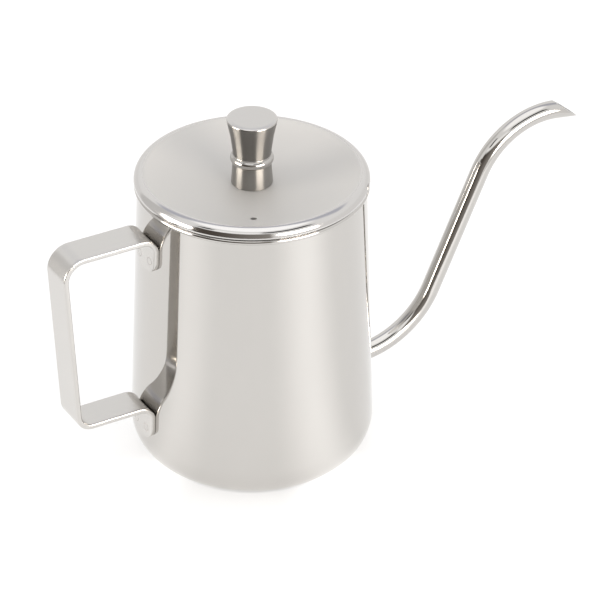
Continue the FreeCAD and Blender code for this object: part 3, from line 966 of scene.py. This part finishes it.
strap_brushed = steel(
    "strap_brushed_steel",
    SATIN_TONE,
    stretched(160.0, 4200.0, 160.0),
    roughness=0.24,
    spread=0.08,
    bump=0.12,
    extra=spot_welds,
)
print("spot welds lie", round(SPOT_DROP / MM, 1), "mm below each arm")

# %% [markdown]
# ## Weld and fasteners
# The weld is left as the torch left it, a little rippled, and the hidden screw and washer are plain bright
# stock. Both are the same steel with a stronger grain.

# %% Weld and fastener finishes
FASTENER_TONE = (0.70, 0.69, 0.68)
WELD_TONE = (0.62, 0.60, 0.57)

fastener = steel(
    "fastener_steel",
    FASTENER_TONE,
    stretched(1500.0, 1500.0, 300.0),
    roughness=0.28,
    spread=0.1,
    bump=0.2,
)
weld_steel = steel(
    "weld_steel",
    WELD_TONE,
    stretched(1800.0, 1800.0, 1800.0),
    roughness=0.36,
    spread=0.15,
    bump=0.5,
)
print(len(bpy.data.materials), "materials")

# %% [markdown]
# ## Dress the pieces
# Most pieces take one finish. The can and the knob are worked in more than one way, so their faces are
# sorted by where they lie and which way they face, which is simpler than cutting them into more pieces.


# %% Dress the can, the tube, the strap and the lid
def dress(piece, *materials):
    piece.data.materials.clear()
    for material in materials:
        piece.data.materials.append(material)


FLOOR_LIMIT = 4 * MM
FACES_UP = 0.5

dress(can, polished, inner_satin)
for face in can.data.polygons:
    outward = Vector((face.center.x, face.center.y)).dot(face.normal.xy)
    is_floor = face.center.z < FLOOR_LIMIT and face.normal.z > FACES_UP
    if (outward < 0 and face.center.z < MOUTH - RIM_BEAD / 2) or is_floor:
        face.material_index = 1
dress(gooseneck, tube_polish)
dress(weld, weld_steel)
dress(handle, strap_brushed)
dress(lid, lid_satin)
dress(plug, lid_satin)
print("the can has", sum(face.material_index for face in can.data.polygons), "satin faces")

# %% Dress the knob and its fasteners
TOP_FACES = 0.72
EDGE_FACES = 0.1
TOP_BAND = 1 * MM
EDGE_BAND = 2 * MM

dress(knob, turned, knob_top, bead_polish)
for face in knob.data.polygons:
    if face.normal.z > TOP_FACES and face.center.z > KNOB_TOP - TOP_BAND:
        face.material_index = 1
    if BEAD_HEIGHT - BEAD_HALF < face.center.z < step_top:
        face.material_index = 2
    if EDGE_FACES < face.normal.z <= TOP_FACES and face.center.z > KNOB_TOP - EDGE_BAND:
        face.material_index = 2
for node in ("knob_washer", "knob_screw"):
    dress(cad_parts[node], fastener)

# %% [markdown]
# ## Camera
# The camera stands about 33 degrees above the table, turned 29 degrees from a square side view towards the
# handle. The kettle sits left of the middle of the picture, so the camera looks past its axis by a small
# angle. The lens follows from how many pixels a metre covers at the kettle.

# %% Camera
PICTURE = 600
AZIMUTH = math.radians(-29.23)
ELEVATION = math.radians(32.63)
DISTANCE = 1.4
PIXELS_PER_METRE = 2710.0
AXIS_PIXEL = (252.0, 324.9)
AXIS_POINT = Vector((0, 0, 0.05))
SENSOR = 36.0
FAR_LIMIT = 20.0

level = math.cos(ELEVATION)
behind = Vector((math.sin(AZIMUTH) * level, -math.cos(AZIMUTH) * level, math.sin(ELEVATION)))
rightward = Vector((math.cos(AZIMUTH), math.sin(AZIMUTH), 0))
upward = behind.cross(rightward)
focal_pixels = PIXELS_PER_METRE * DISTANCE
past_right = (PICTURE / 2 - AXIS_PIXEL[0]) / focal_pixels
past_up = (AXIS_PIXEL[1] - PICTURE / 2) / focal_pixels
gaze = (rightward * past_right + upward * past_up - behind).normalized()
level_up = (upward - gaze * upward.dot(gaze)).normalized()
camera_data = bpy.data.cameras.new("camera")
camera_data.sensor_width = SENSOR
camera_data.lens = focal_pixels / PICTURE * SENSOR
camera_data.clip_end = FAR_LIMIT
camera = bpy.data.objects.new("camera", camera_data)
turned_to = Matrix((gaze.cross(level_up), level_up, -gaze)).transposed().to_4x4()
camera.matrix_world = Matrix.Translation(AXIS_POINT + behind * DISTANCE) @ turned_to
bpy.context.scene.collection.objects.link(camera)
bpy.context.scene.camera = camera
print("lens", round(camera_data.lens, 1), "mm")

# %% [markdown]
# ## Table
# Polished steel shows its surroundings, so the studio is part of the look. The kettle stands on a round
# white table, and because the camera looks down, the can's wall mirrors the table more than the room. So
# the table glows softly, and its glow carries painted light: a painted pool of light on either hand, where
# light from the windows would fall, so the wall shows a light band at each side, and a painted shadow under
# the base, where the glow fades out and the table stays dark.

# %% Bearings in the studio
studio_front = Vector((behind.x, behind.y)).normalized()
studio_right = Vector((rightward.x, rightward.y))


def headings(g, place):
    """How far a place lies towards the studio's front, its bearing to the right of that, and its height."""
    x, y, height = g.split(place)
    front = x * studio_front.x + y * studio_front.y
    side = x * studio_right.x + y * studio_right.y
    bearing = g.node("ShaderNodeMath", {"operation": "ARCTAN2"}, {0: side, 1: front})
    return front, bearing, height


def ramp_up(bearing, start, end):
    """Eases from 0 at one bearing to 1 at another, both in degrees right of the front."""
    return bearing.graph.ease(bearing, math.radians(start), math.radians(end))


def grey(shade_of_white):
    return (shade_of_white, shade_of_white, shade_of_white, 1)


print("the studio's front is", [round(v, 3) for v in studio_front])

# %% Table
TABLE_RADIUS = 0.3
TABLE_STEPS = 96
TABLE_DROP = 0.2 * MM
TABLE_GLOW = 1.79
TABLE_ROUGHNESS = 0.9
FLECK_SCALE = 30.0
FLECK_DARK = 0.345
FLECK_LIGHT = 0.355
# Painted pools of window light in the table's glow, one on either hand.
RIGHT_POOL = 0.48
RIGHT_RISE = (14, 50)
RIGHT_FALL = (82, 50)
LEFT_POOL = 0.28
LEFT_RISE = (-28, -57)
LEFT_FALL = (-78, -58)
# Painted shadow: the table's glow fades out inside these distances from the axis, under the base.
SHADE_START = 33 * MM
SHADE_END = 37 * MM

table_mesh = bmesh.new()
bmesh.ops.create_circle(table_mesh, cap_ends=True, segments=TABLE_STEPS, radius=TABLE_RADIUS)
table_top = new_object("table_top", table_mesh)
table_top.location.z = -TABLE_DROP
table_painted_light, g = new_finish("table_white_painted_light")
place = g.object_place()
fleck = g.node("ShaderNodeTexNoise", None, {"Vector": place, "Scale": FLECK_SCALE})
paint = g.blend(fleck, grey(FLECK_DARK), grey(FLECK_LIGHT))
bearing = headings(g, place)[1]
# Painted light: brighter pools painted into the table's glow.
right_pool = ramp_up(bearing, *RIGHT_RISE) * ramp_up(bearing, *RIGHT_FALL)
left_pool = ramp_up(bearing, *LEFT_RISE) * ramp_up(bearing, *LEFT_FALL)
# Painted shadow: no glow under the base.
lit = g.ease(g.reach(place), SHADE_START, SHADE_END)
pools = lit * (1.0 + RIGHT_POOL * right_pool + LEFT_POOL * left_pool)
glow = g.node("ShaderNodeVectorMath", {"operation": "SCALE"}, {0: paint, "Scale": pools})
glowing = {"Emission Color": glow, "Emission Strength": TABLE_GLOW}
matt = {"Base Color": paint, "Roughness": TABLE_ROUGHNESS}
table_surface = g.node("ShaderNodeBsdfPrincipled", None, matt | glowing)
g.node("ShaderNodeOutputMaterial", None, {"Surface": table_surface})
dress(table_top, table_painted_light)
print("table laid,", 2 * TABLE_RADIUS, "m across")

# %% [markdown]
# ## Walls and windows
# The room is painted on the world's sky by direction: a bearing right of the front, and a height from -1
# straight down to 1 straight up. Pale walls meet a bright ceiling, with a greyer stretch at the back. In
# front, two bright windows stand either side of a dim gap, and the knob draws them out into light and dark
# stripes. A thin dark seam above the windows adds a fine dark line to the tube and other round pieces. The
# room could be built from lit panels, but on the sky an edge moves by a degree with one number.

# %% Pale walls and ceiling
LOWER_WALL = (0.96, 0.95, 0.94, 1)
UPPER_WALL = (1.05, 1.045, 1.04, 1)
CEILING = (1.5, 1.5, 1.51, 1)
BACK_WALL = (0.62, 0.63, 0.70, 1)
WALL_FADE = (0.15, 0.45)
CEILING_EDGE = (0.86, 0.93)
BACK_EDGE = (-0.15, -0.4)

world = bpy.data.worlds.new("studio")
world.use_nodes = True
bpy.context.scene.world = world
g = Graph(world.node_tree)
front, bearing, height = headings(g, g.node("ShaderNodeTexCoord", output="Generated"))


def band(rise, fall):
    """1 between two heights; each edge is soft and says where it starts and where it ends."""
    return g.ease(height, *rise) * g.ease(height, *fall)


tone = g.blend(g.ease(height, *WALL_FADE), LOWER_WALL, UPPER_WALL)
tone = g.blend(g.ease(height, *CEILING_EDGE), tone, CEILING)
at_back = g.ease(front, *BACK_EDGE) * band(rise=(0.66, 0.74), fall=(0.92, 0.85))
tone = g.blend(at_back, tone, BACK_WALL)
print("walls and ceiling painted")

# %% Windows
SOFT_BEARING = 6
SOFT_HEIGHT = 0.06
BELOW_ALL = -1.1
GAP = (-60, 22)
FRONT_WALL = grey(1.3)
RIGHT_WINDOW = (19.5, 18.1, 16.5, 1)
LEFT_WINDOW = (16.5, 15.4, 14.0, 1)
SIDE_WALL = (0.75, 0.74, 0.73, 1)


def sector(start, end):
    """1 between two bearings, in degrees right of the front, with soft edges."""
    return ramp_up(bearing, start, start + SOFT_BEARING) * ramp_up(bearing, end, end - SOFT_BEARING)


def panel(behind_it, colour, start, end, low, top):
    """The sky with a panel painted on it, between two bearings and two heights."""
    rise = (low - SOFT_HEIGHT, low + SOFT_HEIGHT)
    fall = (top + SOFT_HEIGHT, top - SOFT_HEIGHT)
    return g.blend(sector(start, end) * band(rise, fall), behind_it, colour)


tone = panel(tone, FRONT_WALL, *GAP, low=BELOW_ALL, top=0.75)
tone = panel(tone, RIGHT_WINDOW, start=22, end=64, low=-0.04, top=0.28)
tone = panel(tone, LEFT_WINDOW, start=-92, end=-54, low=-0.12, top=0.26)
tone = panel(tone, SIDE_WALL, start=-128, end=-90, low=BELOW_ALL, top=0.75)
print("windows set either side of a gap of", GAP[1] - GAP[0], "degrees")

# %% The dim gap, the seam and the backdrop
DUSK_LEFT = (0.085, 0.072, 0.061, 1)
DUSK_RIGHT = (0.30, 0.277, 0.255, 1)
DUSK_FADE = (-45, 18)
GAP_TOP = (0.59, 0.49)
SEAM = grey(0.05)
SEAM_RIGHT = (8, 72)
SEAM_LEFT = (-64, -40)
BACKDROP = 1.1

dusk = g.blend(ramp_up(bearing, *DUSK_FADE), DUSK_LEFT, DUSK_RIGHT)
tone = g.blend(sector(*GAP) * g.ease(height, *GAP_TOP), tone, dusk)
seam = (sector(*SEAM_RIGHT) + sector(*SEAM_LEFT)) * band(rise=(0.62, 0.66), fall=(0.81, 0.78))
tone = g.blend(seam, tone, SEAM)
room = g.node("ShaderNodeBackground", None, {"Color": tone, "Strength": 1.0})
paper = g.node("ShaderNodeBackground", None, {"Color": grey(1.0), "Strength": BACKDROP})
seen = g.node("ShaderNodeLightPath", output="Is Camera Ray")
sky = g.node("ShaderNodeMixShader", None, {0: seen, 1: room, 2: paper})
g.node("ShaderNodeOutputWorld", None, {"Surface": sky})
print("the camera sees white paper, the steel sees the room")

# %% [markdown]
# ## Lamp
# A soft round lamp overhead adds a little light from above. It is hidden from the reflections, because the
# ceiling is already bright there.

# %% Lamp overhead
LAMP_SIZE = 0.7
LAMP_POWER = 1.2
LAMP_PLACE = (0.14, 0.25, 0.9)

lamp_data = bpy.data.lights.new("overhead", "AREA")
lamp_data.shape = "DISK"
lamp_data.size = LAMP_SIZE
lamp_data.energy = LAMP_POWER
lamp = bpy.data.objects.new("overhead", lamp_data)
lamp.location = LAMP_PLACE
lamp.visible_glossy = False
bpy.context.scene.collection.objects.link(lamp)
bpy.context.scene.view_settings.view_transform = "Standard"
print("lamp hung at", LAMP_PLACE[2], "m")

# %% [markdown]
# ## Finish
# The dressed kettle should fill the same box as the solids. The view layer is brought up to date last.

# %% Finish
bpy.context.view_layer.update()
